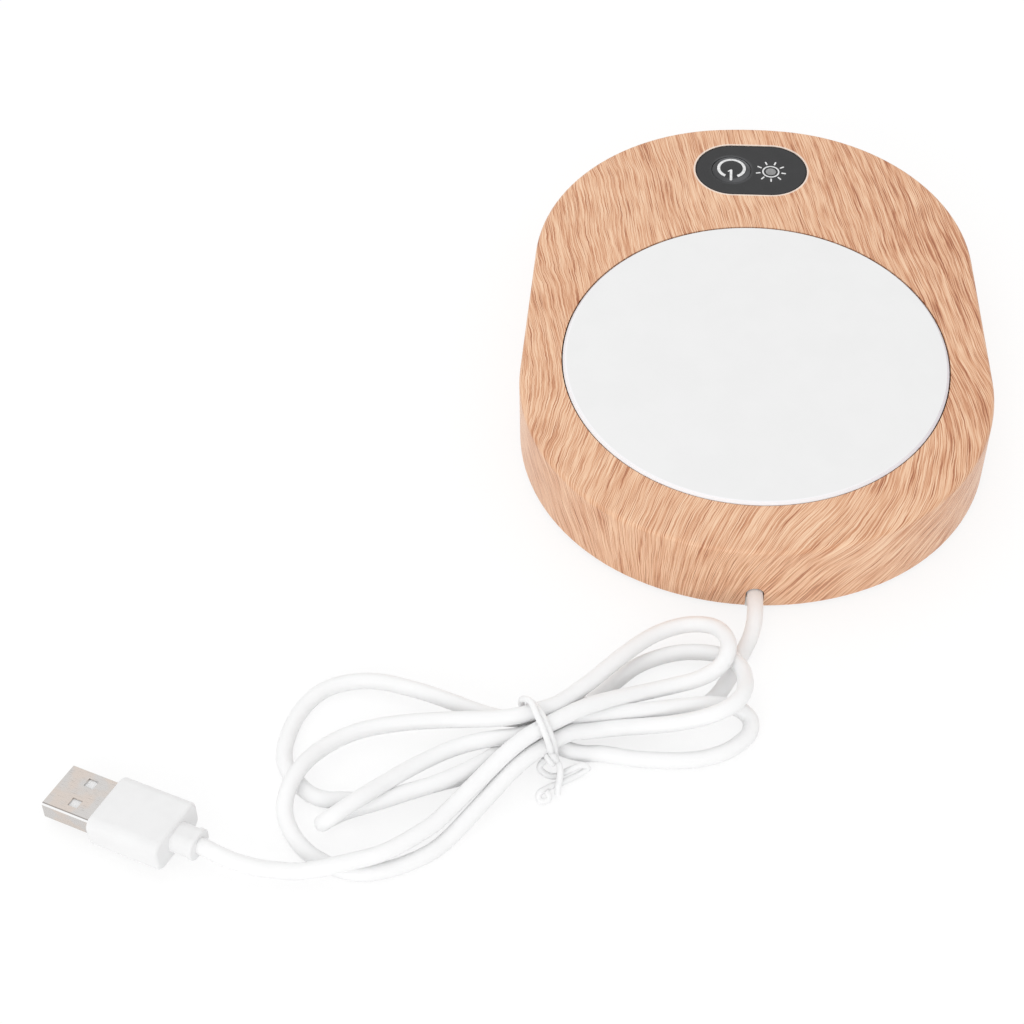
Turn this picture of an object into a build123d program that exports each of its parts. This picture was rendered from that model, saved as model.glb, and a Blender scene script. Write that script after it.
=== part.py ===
from build123d import *
import math
import os

# Electric mug warmer: a moulded housing with a round heated plate, a press key and a tied USB cord.
# All sizes are in millimetres. z = 0 is the table top, +Y points to the control panel,
# and the origin is below the middle of the housing.

# Housing plan: round front, two slightly tapered sides, flatter round back
front_margin = 13.5         # plate opening to front edge
back_margin = 37.6          # plate opening to back edge
side_margin = 9.33          # plate opening to each side, level with the plate centre
side_taper = 2.58           # degrees by which each side leans in towards the back
front_arc_extra = 4.9       # front arc radius over the half width
front_corner_ease = 8.3     # front arc radius over the front corner radius
back_arc_extra = 32.0       # back arc radius over the half width
back_corner_ease = 5.2      # half width over the back corner radius

# Housing section
foot_stand = 1.0            # the feet lift the housing by this
housing_height = 18.8
wall = 2.4
roof = 2.2
edge_round = 1.0
rim_round = 0.4

# Plate and its seat
plate_radius = 45.3
plate_thickness = 3.0
plate_stand = 0.4           # plate face above the housing
plate_bevel = 0.6
plate_gap = 0.3
seal_thickness = 0.5
ledge_width = 3.0
ledge_thickness = 1.8
collar_wall = 2.2
rib_thickness = 1.2
rib_height = 6.5
rib_angles = (0, 60, 120, 180, 245, 295)

# Heater stack below the plate
film_gap = 2.0              # ledge to film, radially
film_thickness = 0.3
pad_inset = 0.5
pad_thickness = 3.5
retainer_thickness = 1.8
retainer_gap = 0.8          # ledge to retainer disc, radially
retainer_rib = 1.2
ear_radius = 3.2
ear_angles = (30, 150, 210, 330)
vent_radius = 4.0
vent_circle = 24.0
vent_count = 8
arm_root = 2.0              # how far each ear's arm reaches into the retainer disc
lead_slot_width = 9.0
lead_slot_depth = 7.0
lead_inset = 3.5            # edge of the insulation to the heater's leads
tab_length = 3.6
tab_width = 3.0
sensor_reach = 12.0         # plate centre to the sensor
sensor_hole_radius = 2.2
sensor_radius = 1.0
sensor_length = 2.4

# Control panel
panel_from_back = 16.3      # panel centre to back edge
panel_length = 28.4
panel_width = 18.8
overlay_thickness = 0.5
overlay_sink = 0.1
overlay_gap = 0.12
icon_offset = 5.0           # key to the left and lamp to the right of the panel centre
key_radius = 4.9
key_gap = 0.15
key_rise = 0.65
key_shoulder = 0.4          # height of the key's sloping edge above the panel
key_edge = 0.7              # width of that sloping edge
key_skirt_sink = 0.1
key_flange_extra = 1.0
key_flange_thickness = 0.7
key_stop_gap = 0.1
stem_radius = 1.5
contact_gap = 0.05
lamp_radius = 1.3
lamp_drop = 0.4             # lamp centre nearer the plate than the key's
lamp_flange_radius = 2.4
lamp_flange_thickness = 0.8

# Circuit board
board_length = 38.0
board_depth = 24.0
board_thickness = 1.2
board_drop = 6.4            # housing roof to board
board_shift = -1.4          # board centre from panel centre
board_corner = 1.5
board_boss_radius = 2.4
board_boss_inset = 2.8
switch_side = 6.2
switch_bevel = 0.4
switch_height = 3.5
switch_floor = 0.8
switch_cavity_radius = 2.6
switch_cavity_height = 1.9
plunger_radius = 1.7
plunger_clearance = 0.05
plunger_stand = 1.0
plunger_bevel = 0.25
plunger_flange_extra = 0.5
plunger_flange_thickness = 0.4
nub_radius = 0.8
dome_radius = 2.2
dome_height = 0.6
dome_thickness = 0.12
leg_size = (1.3, 0.8, 0.3)
leg_offset = 2.05
leg_rise = 1.2
lamp_body = (3.5, 2.8, 1.9)
lamp_cup = (0.85, 1.2, 0.95)        # floor radius, mouth radius, depth
lamp_air = 0.3
chip_bevel = 0.3
chip_body = (4.9, 3.9, 1.5)
chip_air = 0.15             # board to the underside of the chip
chip_x = -3.0
chip_from_front = 5.0
chip_pitch = 1.27
chip_lead = (0.45, 1.4, 0.5)
chip_lead_out = 0.4         # chip side to the middle of its leads
chip_lead_count = 4
transistor_body = (6.6, 6.1, 2.3)
transistor_x = 8.0
transistor_from_front = 5.6
transistor_tab = (5.3, 1.6, 0.6)
transistor_lead = (0.8, 1.8, 0.6)
transistor_lead_offset = 2.2
resistor_body = (2.0, 1.25, 0.6)
resistor_count = 5
resistor_pitch = 4.0
resistor_gap = 1.5          # last resistor to the capacitor's base
resistor_from_back = 3.0
capacitor_radius = 2.5
capacitor_height = 5.4
capacitor_base = 0.6
capacitor_round = 0.4
capacitor_from_end = 8.0
capacitor_from_back = 4.6

# Screws: head radius, head height, shank radius, shank length
base_screw = (2.4, 1.5, 1.3, 9.0)
small_screw = (1.7, 1.1, 0.85, 5.0)
screw_clearance = 0.05      # shank to pilot hole, radially
through_clearance = 0.25    # shank to through hole, radially
pilot_spare = 0.6
slot_width = 0.5            # cross slot in each head
slot_depth = 0.7
slot_share = 1.2            # slot length over the head radius

# Base cover
base_thickness = 2.0
base_rebate = 1.2
base_gap = 0.15
base_bevel = 0.3
lip_height = 2.0
lip_thickness = 1.0
lip_gap = 0.2
screw_pad_radius = 4.0
screw_pad_height = 1.6
base_boss_radius = 3.25
boss_clearance = 0.3
base_screw_angle = -40.0    # front screws, seen from the plate centre
base_screw_out = 5.0        # collar to front screws
back_screw_in = 19.0        # half width to back screws
back_screw_from_back = 25.2
foot_radius = 5.0
foot_thickness = 2.0
foot_bevel = 0.4
foot_gap = 0.1
front_foot_angle = -62.0
front_foot_out = 0.6
back_foot_in = 28.0
back_foot_from_back = 16.5
stiffener_radius = 34.0
stiffener_height = 1.0
stiffener_thickness = 1.4

# Cord and its clamp
cord_radius = 1.8
cord_exit_z = 5.2
notch_gap = 0.25
cord_inside = 16.0          # jacket length inside the housing
tongue_height = 3.0
tongue_gap = 0.1
clamp_from_front = 8.6
clamp_length = 19.0
clamp_depth = 6.0
clamp_height = 2.9
clamp_split = 0.15          # half the slit between saddle and clamp
clamp_corner = 1.5
clamp_screw_offset = 6.6
pillar_radius = 2.6
pillar_floor = 0.8          # base material left below the pillars' pilot holes

# Wires
wire_radius = 0.7
sensor_wire_radius = 0.4
wire_bend = 2.0
heater_wire_offset = 2.5
heater_wire_drop = 3.4      # board to heater wires
sensor_wire_offset = 0.8
sensor_wire_drop = 1.1      # board to sensor wires
wire_land = 2.0             # front edge of the board to where those wires meet it
power_wire_offset = 0.9
power_wire_lead = 8.0       # straight length out of the cord jacket
power_wire_cross = 18.0     # length along which the power wires swing aside
power_wire_swing = 8.0
power_wire_land = 5.0

# USB plug, along its own x axis from mouth to cord
shell_width = 12.0
shell_height = 4.5
shell_wall = 0.3
shell_round = 0.6
shell_length = 12.05        # bare length
shell_buried = 6.0
window_size = (2.4, 2.2)
window_reach = 6.4
window_offset = 2.9
tongue_plug_thickness = 1.9
tongue_plug_gap = 0.1
tongue_plug_recess = 0.8
contact_recess = 1.0
contact_width = 1.0
contact_thickness = 0.15
contact_length = 7.4
contact_pitch = 2.25
contact_count = 4
mold_length = 17.6
mold_width = 15.4
mold_height = 7.6
mold_round = 2.4
mold_end_round = 0.8
neck_length = 4.2
neck_width = 6.6
neck_height = 5.0
neck_round = 2.3
ring_length = 1.2
ring_width = 7.1
ring_height = 5.5
ring_round = 2.5
ring_edge_round = 0.4
plug_air = 0.02             # table to the plug's lowest corner
plug_x = -114.45            # where the cord leaves the plug
plug_y = -142.27
plug_yaw = -23.4
plug_pitch = -5.0
plug_roll = -6.4

# Tied loops of the cord
bundle_x = -46.3
bundle_y = -110.6
bundle_angle = 31.0
bundle_radius = 5.4         # seven strands, one in the middle and six round it
bundle_length = 18.0
lobe_height = 7.4
lobe_round = 1.6
lobe_air = 0.05             # table to the loops
left_lobe = ((-84.0, -114.0, 18.0), (-84.0, -130.3, 17.0), (-57.5, -114.8, 8.5))
right_lobe = ((-14.5, -91.0, 12.0), (-11.6, -103.0, 11.6), (-18.0, -105.8, 10.5), (-36.0, -107.0, 8.0))
tie_wire_radius = 0.8
tie_gap = 0.05
tie_knot = (-42.8, -116.4, 4.6)
tie_knot_radius = 1.3
tie_tail = [tie_knot, (-39.4, -117.6, 3.2), (-34.6, -116.9, 2.4)]
tie_hook = [tie_knot, (-43.2, -119.4, 1.4), (-44.0, -122.6, 0.9)]
tie_curl = (-44.9, -124.2)
tie_curl_radius = 1.7

# Cord centre lines, first the short lead from the housing, then the lead to the plug
housing_lead = [(0.0, 0.0, cord_exit_z), (0.0, -5.0, cord_exit_z), (-0.8, -11.6, 1.9), (-6.4, -19.6, 1.85)]
plug_lead = [(-103.6, -146.3, 4.2), (-97.0, -146.4, 2.0), (-88.6, -144.6, 1.85), (-80.0, -139.6, 1.85)]
plug_lead_start = 5.4       # straight length out of the plug
arc_share = 0.45            # share of the shorter run that each arc takes up

# Levels and radii that follow from the sizes above
opening_radius = plate_radius + plate_gap
front_reach = opening_radius + front_margin
back_reach = opening_radius + back_margin
side_half_width = opening_radius + side_margin
plate_y = (front_reach - back_reach) / 2
front_y = plate_y - front_reach
back_y = plate_y + back_reach
base_z = foot_stand
base_top = base_z + base_thickness
pad_top = base_top + screw_pad_height
top_z = base_z + housing_height
roof_z = top_z - roof
collar_radius = opening_radius + collar_wall
ledge_radius = opening_radius - ledge_width
plate_bottom = top_z + plate_stand - plate_thickness
ledge_top = plate_bottom - seal_thickness
ledge_bottom = ledge_top - ledge_thickness
film_radius = ledge_radius - film_gap
film_bottom = plate_bottom - film_thickness
pad_radius = film_radius - pad_inset
pad_bottom = film_bottom - pad_thickness
retainer_bottom = pad_bottom - retainer_thickness
ear_circle = (opening_radius + collar_radius) / 2
heater_lead_y = plate_y + pad_radius - lead_inset
panel_y = back_y - panel_from_back
lamp_y = panel_y - lamp_drop
overlay_top = top_z - overlay_sink
overlay_bottom = overlay_top - overlay_thickness
board_y = panel_y + board_shift
board_front = board_y - board_depth / 2
board_back = board_y + board_depth / 2
capacitor_x = board_length / 2 - capacitor_from_end
board_top = roof_z - board_drop
board_bottom = board_top - board_thickness
heater_wire_z = board_bottom - heater_wire_drop
sensor_wire_z = board_bottom - sensor_wire_drop
switch_top = board_top + switch_height
switch_cavity_floor = board_top + switch_floor
switch_cavity_roof = switch_cavity_floor + switch_cavity_height
plunger_top = switch_top + plunger_stand
clamp_y = front_y + clamp_from_front
cord_end_y = front_y + cord_inside
mold_start = shell_length
mold_end = mold_start + mold_length
neck_end = mold_end + neck_length
plug_end = neck_end + ring_length


def disc(radius, low, high, x=0.0, y=plate_y):
    return Pos(x, y, low) * Cylinder(radius, high - low, align=(Align.CENTER, Align.CENTER, Align.MIN))


def block(size_x, size_y, low, high, x=0.0, y=0.0):
    return Pos(x, y, low) * Box(size_x, size_y, high - low, align=(Align.CENTER, Align.CENTER, Align.MIN))


def polar(radius, angle):
    turn = math.radians(angle)
    return radius * math.cos(turn), plate_y + radius * math.sin(turn)


def where_side_meets(arc_radius, arc_y, end):
    # x and y where the right side line crosses an end arc; end is -1 at the front, 1 at the back
    slope = math.tan(math.radians(side_taper))
    start = side_half_width - slope * (arc_y - plate_y)
    a = slope * slope + 1
    b = -2 * slope * start
    c = start * start - arc_radius * arc_radius
    step = (-b + end * math.sqrt(b * b - 4 * a * c)) / (2 * a)
    return start - slope * step, arc_y + step


def plan(inset=0.0):
    # the housing's outline, moved inwards by inset
    front_radius = side_half_width + front_arc_extra
    back_radius = side_half_width + back_arc_extra
    front_x, front_side_y = where_side_meets(front_radius, front_y + front_radius, -1)
    back_x, back_side_y = where_side_meets(back_radius, back_y - back_radius, 1)
    front_arc = ThreePointArc((-front_x, front_side_y), (0, front_y), (front_x, front_side_y))
    right_side = Line((front_x, front_side_y), (back_x, back_side_y))
    back_arc = ThreePointArc((back_x, back_side_y), (0, back_y), (-back_x, back_side_y))
    left_side = Line((-back_x, back_side_y), (-front_x, front_side_y))
    face = make_face([front_arc, right_side, back_arc, left_side])
    front_corners = face.vertices().group_by(Axis.Y)[0]
    face = fillet(front_corners, front_radius - front_corner_ease)
    back_corners = face.vertices().group_by(Axis.Y)[-1]
    face = fillet(back_corners, side_half_width - back_corner_ease)
    return offset(face, -inset) if inset else face


def prism(face, low, high):
    return Pos(0, 0, low) * extrude(face, high - low)


def both_sides(x, y):
    return [(x, y), (-x, y)]


def base_screw_places():
    x, y = polar(collar_radius + base_screw_out, base_screw_angle)
    return both_sides(x, y) + both_sides(side_half_width - back_screw_in, back_y - back_screw_from_back)


def foot_places():
    x, y = polar(collar_radius + front_foot_out, front_foot_angle)
    return both_sides(x, y) + both_sides(side_half_width - back_foot_in, back_y - back_foot_from_back)


def board_screw_places():
    x = board_length / 2 - board_boss_inset
    return both_sides(x, board_front + board_boss_inset) + both_sides(x, board_back - board_boss_inset)


def pilot(screw, low, x, y, through=0.0):
    # the hole that a screw's shank cuts its thread in; through is what the shank passes before it
    radius = screw[2] + screw_clearance
    return disc(radius, low, low + screw[3] - through + pilot_spare, x, y)


def screw_up(screw, seat_z, x, y):
    # a pan head screw driven upwards, with its head under seat_z
    head_radius, head_height, shank_radius, shank_length = screw
    head = disc(head_radius, seat_z - head_height, seat_z, x, y)
    head = fillet(head.edges().group_by(Axis.Z)[0], head_height / 3)
    for turn in (0, 90):
        slot = block(head_radius * slot_share, slot_width, 0, slot_depth)
        head -= Pos(x, y, seat_z - head_height) * Rot(Z=turn) * slot
    shank = disc(shank_radius, seat_z, seat_z + shank_length, x, y)
    return head + chamfer(shank.edges().group_by(Axis.Z)[-1], shank_radius / 3)


def stadium(length, width, inset=0.0):
    return SlotOverall(length - 2 * inset, width - 2 * inset)


def cord_notch():
    # arched slot for the cord through the front wall
    radius = cord_radius + notch_gap
    arch = Plane.XZ * Circle(radius)
    slot = Pos(0, front_y + wall / 2, cord_exit_z) * extrude(arch, wall * 2, both=True)
    legs = block(2 * radius, wall * 4, base_z - 1, cord_exit_z, 0, front_y + wall / 2)
    return slot + legs


def upper_housing():
    shell = prism(plan(), base_z, top_z)
    shell = fillet(shell.edges().group_by(Axis.Z)[-1], edge_round)
    shell = fillet(shell.edges().group_by(Axis.Z)[0], rim_round)
    inside = prism(plan(wall), base_top, roof_z)
    shell -= inside
    shell -= prism(plan(base_rebate), base_z - 1, base_top)
    # collar and ledge that carry the plate, tied to the wall by ribs
    collar = disc(collar_radius, ledge_bottom, roof_z)
    ribs = Part()
    for angle in rib_angles:
        x, y = polar(back_reach / 2, angle)
        ribs += Pos(x, y) * Rot(Z=angle) * block(back_reach, rib_thickness, roof_z - rib_height, roof_z)
    ribs -= disc(collar_radius - collar_wall / 2, 0, top_z)
    ribs &= inside
    bosses = Part()
    for angle in ear_angles:
        bosses += disc(ear_radius, pad_bottom, roof_z, *polar(ear_circle, angle))
    for x, y in base_screw_places():
        bosses += disc(base_boss_radius, pad_top, roof_z, x, y)
    for x, y in board_screw_places():
        bosses += disc(board_boss_radius, board_top, roof_z, x, y)
    shell += collar + ribs + bosses
    shell -= disc(opening_radius, ledge_top, top_z + 1)
    shell -= disc(ledge_radius, base_z, top_z + 1)
    for angle in ear_angles:
        shell -= pilot(small_screw, pad_bottom, *polar(ear_circle, angle), retainer_thickness)
    for x, y in base_screw_places():
        shell -= pilot(base_screw, pad_top, x, y, screw_pad_height)
    for x, y in board_screw_places():
        shell -= pilot(small_screw, board_top, x, y, board_thickness)
    shell -= Pos(0, panel_y, overlay_bottom) * extrude(stadium(panel_length, panel_width), roof)
    shell -= disc(key_radius + key_gap, base_z, top_z, -icon_offset, panel_y)
    shell -= disc(lamp_radius + screw_clearance, base_z, top_z, icon_offset, lamp_y)
    return shell - cord_notch()


def heating_plate():
    plate = disc(plate_radius, plate_bottom, plate_bottom + plate_thickness)
    return chamfer(plate.edges().group_by(Axis.Z)[-1], plate_bevel)


def plate_seal():
    ring = disc(plate_radius - plate_bevel, ledge_top, plate_bottom)
    return ring - disc(ledge_radius + plate_gap, ledge_top, plate_bottom)


def lead_slot(low, high):
    # where the heater's wires leave at the back of the stack
    return block(lead_slot_width, lead_slot_depth * 2, low, high, 0, plate_y + pad_radius)


def heater_film():
    return disc(film_radius, film_bottom, plate_bottom)


def heater_tabs():
    low = film_bottom - film_thickness
    return Compound(children=[
        block(tab_width, tab_length, low, film_bottom, x, y)
        for x, y in both_sides(heater_wire_offset, heater_lead_y)])


def insulation_pad():
    pad = disc(pad_radius, pad_bottom, film_bottom)
    pad -= lead_slot(pad_bottom, film_bottom)
    return pad - disc(sensor_hole_radius, pad_bottom, film_bottom, 0, plate_y + sensor_reach)


def heater_retainer():
    radius = ledge_radius - retainer_gap
    body = disc(radius, retainer_bottom, pad_bottom)
    for angle in ear_angles:
        body += disc(ear_radius, retainer_bottom, pad_bottom, *polar(ear_circle, angle))
        x, y = polar((ear_circle + radius - arm_root) / 2, angle)
        arm = block(ear_circle - radius + arm_root, ear_radius * 2, retainer_bottom, pad_bottom)
        body += Pos(x, y) * Rot(Z=angle) * arm
    rim = disc(radius, retainer_bottom - retainer_rib, retainer_bottom)
    body += rim - disc(radius - retainer_rib, retainer_bottom - retainer_rib, retainer_bottom)
    for index in range(vent_count):
        turn = 360 * (index + 0.5) / vent_count
        body -= disc(vent_radius, retainer_bottom, pad_bottom, *polar(vent_circle, turn))
    for angle in ear_angles:
        hole = small_screw[2] + through_clearance
        body -= disc(hole, retainer_bottom, pad_bottom, *polar(ear_circle, angle))
    body -= lead_slot(retainer_bottom - retainer_rib, pad_bottom)
    return body - disc(sensor_hole_radius, retainer_bottom, pad_bottom, 0, plate_y + sensor_reach)


def thermistor():
    # glass bead lying against the film
    bead = Rot(Y=90) * Cylinder(sensor_radius, sensor_length)
    bead = fillet(bead.edges(), sensor_radius / 2)
    return Pos(0, plate_y + sensor_reach, film_bottom - sensor_radius) * bead


def control_overlay():
    outline = stadium(panel_length, panel_width, overlay_gap)
    film = Pos(0, panel_y, overlay_bottom) * extrude(outline, overlay_thickness)
    film -= disc(key_radius + key_gap, overlay_bottom, overlay_top, -icon_offset, panel_y)
    return film - disc(lamp_radius + screw_clearance, overlay_bottom, overlay_top, icon_offset, lamp_y)


def power_key():
    # domed cap, skirt, retaining flange under the roof, and the stem that meets the switch
    flange_top = roof_z - key_stop_gap
    flange_bottom = flange_top - key_flange_thickness
    stem_bottom = plunger_top + contact_gap
    crown_z = overlay_top + key_rise
    shoulder_z = overlay_top + key_shoulder
    crown = TangentArc((0, crown_z), (key_radius - key_edge, shoulder_z), tangent=(1, 0))
    edge = Line(crown @ 1, (key_radius, overlay_top - key_skirt_sink))
    flange_radius = key_radius + key_flange_extra
    lower = Polyline(
        edge @ 1, (key_radius, flange_top), (flange_radius, flange_top), (flange_radius, flange_bottom),
        (stem_radius, flange_bottom), (stem_radius, stem_bottom), (0, stem_bottom), (0, crown_z))
    profile = make_face([Plane.XZ * crown, Plane.XZ * edge, Plane.XZ * lower])
    return Pos(-icon_offset, panel_y, 0) * revolve(profile, Axis.Z)


def light_guide():
    rod = disc(lamp_radius, board_top + lamp_body[2] + lamp_air, overlay_top, icon_offset, lamp_y)
    return rod + disc(lamp_flange_radius, roof_z - lamp_flange_thickness, roof_z, icon_offset, lamp_y)


def circuit_board():
    outline = RectangleRounded(board_length, board_depth, board_corner)
    board = Pos(0, board_y, board_bottom) * extrude(outline, board_thickness)
    for x, y in board_screw_places():
        board -= disc(small_screw[2] + through_clearance, board_bottom, board_top, x, y)
    return board


def switch_body():
    body = block(switch_side, switch_side, board_top, switch_top, -icon_offset, panel_y)
    body = chamfer(body.edges().filter_by(Axis.Z), switch_bevel)
    body -= disc(switch_cavity_radius, switch_cavity_floor, switch_cavity_roof, -icon_offset, panel_y)
    bore = plunger_radius + plunger_clearance
    return body - disc(bore, switch_cavity_roof, switch_top, -icon_offset, panel_y)


def switch_plunger():
    dome_top = switch_cavity_floor + dome_height
    flange_top = switch_cavity_roof - contact_gap
    flange_bottom = flange_top - plunger_flange_thickness
    stem = disc(plunger_radius, flange_bottom, plunger_top, -icon_offset, panel_y)
    stem = chamfer(stem.edges().group_by(Axis.Z)[-1], plunger_bevel)
    flange_radius = plunger_radius + plunger_flange_extra
    flange = disc(flange_radius, flange_bottom, flange_top, -icon_offset, panel_y)
    return stem + flange + disc(nub_radius, dome_top + contact_gap, flange_bottom, -icon_offset, panel_y)


def switch_dome():
    # sprung metal dome that snaps under the plunger: a slice of a hollow ball
    ball = (dome_radius ** 2 + dome_height ** 2) / (2 * dome_height)
    shell = Sphere(ball) - Sphere(ball - dome_thickness)
    shell = Pos(-icon_offset, panel_y, switch_cavity_floor + dome_height - ball) * shell
    return shell & disc(dome_radius, switch_cavity_floor, switch_cavity_roof, -icon_offset, panel_y)


def switch_legs():
    length, width, height = leg_size
    legs = []
    for side_x in (-1, 1):
        for side_y in (-1, 1):
            x = -icon_offset + side_x * (switch_side + length) / 2
            y = panel_y + side_y * leg_offset
            foot = block(length, width, board_top, board_top + height, x, y)
            riser_x = -icon_offset + side_x * (switch_side + height) / 2
            legs.append(foot + block(height, width, board_top, board_top + leg_rise, riser_x, y))
    return Compound(children=legs)


def indicator_led():
    length, depth, height = lamp_body
    body = block(length, depth, board_top, board_top + height, icon_offset, lamp_y)
    cup = Cone(*lamp_cup, align=(Align.CENTER, Align.CENTER, Align.MAX))
    return body - Pos(icon_offset, lamp_y, board_top + height) * cup


def bevelled(shape, bevel):
    return chamfer(shape.edges().group_by(Axis.Z)[-1], bevel)


def controller_chip():
    length, depth, height = chip_body
    lead_width, lead_length, lead_height = chip_lead
    y = board_front + chip_from_front
    body = bevelled(block(length, depth, board_top + chip_air, board_top + height, chip_x, y), chip_bevel)
    for side in (-1, 1):
        leg_y = y + side * (depth / 2 + chip_lead_out)
        for step in range(chip_lead_count):
            leg_x = chip_x + (step - (chip_lead_count - 1) / 2) * chip_pitch
            body += block(lead_width, lead_length, board_top, board_top + lead_height, leg_x, leg_y)
    return body


def heater_transistor():
    length, depth, height = transistor_body
    tab_wide, tab_deep, tab_thick = transistor_tab
    lead_wide, lead_deep, lead_thick = transistor_lead
    y = board_front + transistor_from_front
    body = bevelled(block(length, depth, board_top, board_top + height, transistor_x, y), chip_bevel)
    tab_y = y + (depth + tab_deep) / 2
    leg_y = y - (depth + lead_deep) / 2
    body += block(tab_wide, tab_deep, board_top, board_top + tab_thick, transistor_x, tab_y)
    for offset in (-transistor_lead_offset, transistor_lead_offset):
        body += block(lead_wide, lead_deep, board_top, board_top + lead_thick, transistor_x + offset, leg_y)
    return body


def chip_resistors():
    length, depth, height = resistor_body
    y = board_back - resistor_from_back
    end = capacitor_x - capacitor_radius - resistor_gap - length / 2
    start = end - (resistor_count - 1) * resistor_pitch
    return Compound(children=[
        block(length, depth, board_top, board_top + height, start + step * resistor_pitch, y)
        for step in range(resistor_count)])


def smoothing_capacitor():
    y = board_back - capacitor_from_back
    low = board_top + capacitor_base
    can = disc(capacitor_radius, low, board_top + capacitor_height, capacitor_x, y)
    can = fillet(can.edges().group_by(Axis.Z)[-1], capacitor_round)
    return can + block(capacitor_radius * 2, capacitor_radius * 2, board_top, low, capacitor_x, y)


def retainer_screws():
    return Compound(children=[screw_up(small_screw, retainer_bottom, *polar(ear_circle, angle))
                              for angle in ear_angles])


def board_screws():
    return Compound(children=[screw_up(small_screw, board_bottom, x, y) for x, y in board_screw_places()])


def base_screws():
    seat = pad_top - screw_pad_height
    return Compound(children=[screw_up(base_screw, seat, x, y) for x, y in base_screw_places()])


def clamp_screws():
    seat = cord_exit_z + clamp_split + clamp_height
    return Compound(children=[
        Pos(x, clamp_y, seat) * Rot(X=180) * screw_up(small_screw, 0, 0, 0)
        for x in (-clamp_screw_offset, clamp_screw_offset)])


def rubber_feet():
    feet = []
    for x, y in foot_places():
        foot = disc(foot_radius, 0, foot_thickness, x, y)
        feet.append(chamfer(foot.edges().group_by(Axis.Z)[0], foot_bevel))
    return Compound(children=feet)


def cord_bore(radius, low_y, high_y):
    bore = Plane.XZ * Circle(radius)
    return Pos(0, (low_y + high_y) / 2, cord_exit_z) * extrude(bore, (high_y - low_y) / 2, both=True)


def base_cover():
    cover = prism(plan(base_rebate + base_gap), base_z, base_top)
    cover = chamfer(cover.edges().group_by(Axis.Z)[0], base_bevel)
    lip_top = base_top + lip_height
    lip_inset = wall + lip_gap
    lip = prism(plan(lip_inset), base_top, lip_top)
    lip -= prism(plan(lip_inset + lip_thickness), base_top, lip_top)
    lip -= block(clamp_length, 2 * clamp_from_front, base_top, lip_top, 0, front_y)
    for x, y in base_screw_places():
        lip -= disc(base_boss_radius + boss_clearance, base_top, lip_top, x, y)
    cover += lip
    # stiffening ring and cross
    ring_top = base_top + stiffener_height
    ring = disc(stiffener_radius, base_top, ring_top)
    ring -= disc(stiffener_radius - stiffener_thickness, base_top, ring_top)
    arm = 2 * stiffener_radius - stiffener_thickness
    cover += ring + block(arm, stiffener_thickness, base_top, ring_top, 0, plate_y)
    cover += block(stiffener_thickness, arm, base_top, ring_top, 0, plate_y)
    inside = prism(plan(lip_inset), base_top, pad_top)
    for x, y in base_screw_places():
        cover += disc(screw_pad_radius, base_top, pad_top, x, y) & inside
    for x, y in base_screw_places():
        cover -= disc(base_screw[0] + boss_clearance, base_z, pad_top - screw_pad_height, x, y)
        cover -= disc(base_screw[2] + through_clearance, base_z, pad_top, x, y)
    for x, y in foot_places():
        cover -= disc(foot_radius + foot_gap, base_z, base_z + foot_thickness - foot_stand, x, y)
    # tongue that closes the cord notch, saddle and screw pillars for the cord
    tongue_width = 2 * (cord_radius + notch_gap - tongue_gap)
    tongue = block(tongue_width, 2 * (wall + lip_inset), base_z, base_z + tongue_height, 0, front_y)
    cover += tongue & prism(plan(), base_z, top_z)
    saddle_top = cord_exit_z - clamp_split
    cover += block(2 * clamp_screw_offset, clamp_depth, base_top, saddle_top, 0, clamp_y)
    for x in (-clamp_screw_offset, clamp_screw_offset):
        cover += disc(pillar_radius, base_top, saddle_top, x, clamp_y)
    for x in (-clamp_screw_offset, clamp_screw_offset):
        cover -= disc(small_screw[2] + screw_clearance, base_z + pillar_floor, saddle_top, x, clamp_y)
    return cover - cord_bore(cord_radius + screw_clearance, front_y - 1, cord_end_y)


def cord_clamp():
    low = cord_exit_z + clamp_split
    bar = block(clamp_length, clamp_depth, low, low + clamp_height, 0, clamp_y)
    bar = fillet(bar.edges().filter_by(Axis.Z), clamp_corner)
    for x in (-clamp_screw_offset, clamp_screw_offset):
        bar -= disc(small_screw[2] + through_clearance, low, low + clamp_height, x, clamp_y)
    return bar - cord_bore(cord_radius + screw_clearance, clamp_y - clamp_depth, clamp_y + clamp_depth)


def cord_inner_end():
    return cord_bore(cord_radius, front_y, cord_end_y)


def wire(points, radius, bend):
    path = FilletPolyline(*points, radius=bend)
    section = Plane(origin=points[0], z_dir=Vector(*points[1]) - Vector(*points[0])) * Circle(radius)
    return sweep(section, path=path)


def lead_wires(x, start_y, start_z, run_z, radius, bend):
    # a pair of wires that drop from the heater stack and run back to the front of the board
    end_y = board_front + wire_land
    return Compound(children=[
        wire([(side, start_y, start_z), (side, start_y, run_z), (side, end_y, run_z),
              (side, end_y, board_bottom)],
             radius, bend)
        for side in (-x, x)])


def heater_wires():
    start_z = film_bottom - film_thickness
    return lead_wires(heater_wire_offset, heater_lead_y, start_z, heater_wire_z, wire_radius, wire_bend)


def sensor_wires():
    start_z = film_bottom - 2 * sensor_radius
    bead_y = plate_y + sensor_reach
    return lead_wires(
        sensor_wire_offset, bead_y, start_z, sensor_wire_z, sensor_wire_radius, sensor_wire_radius)


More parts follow.
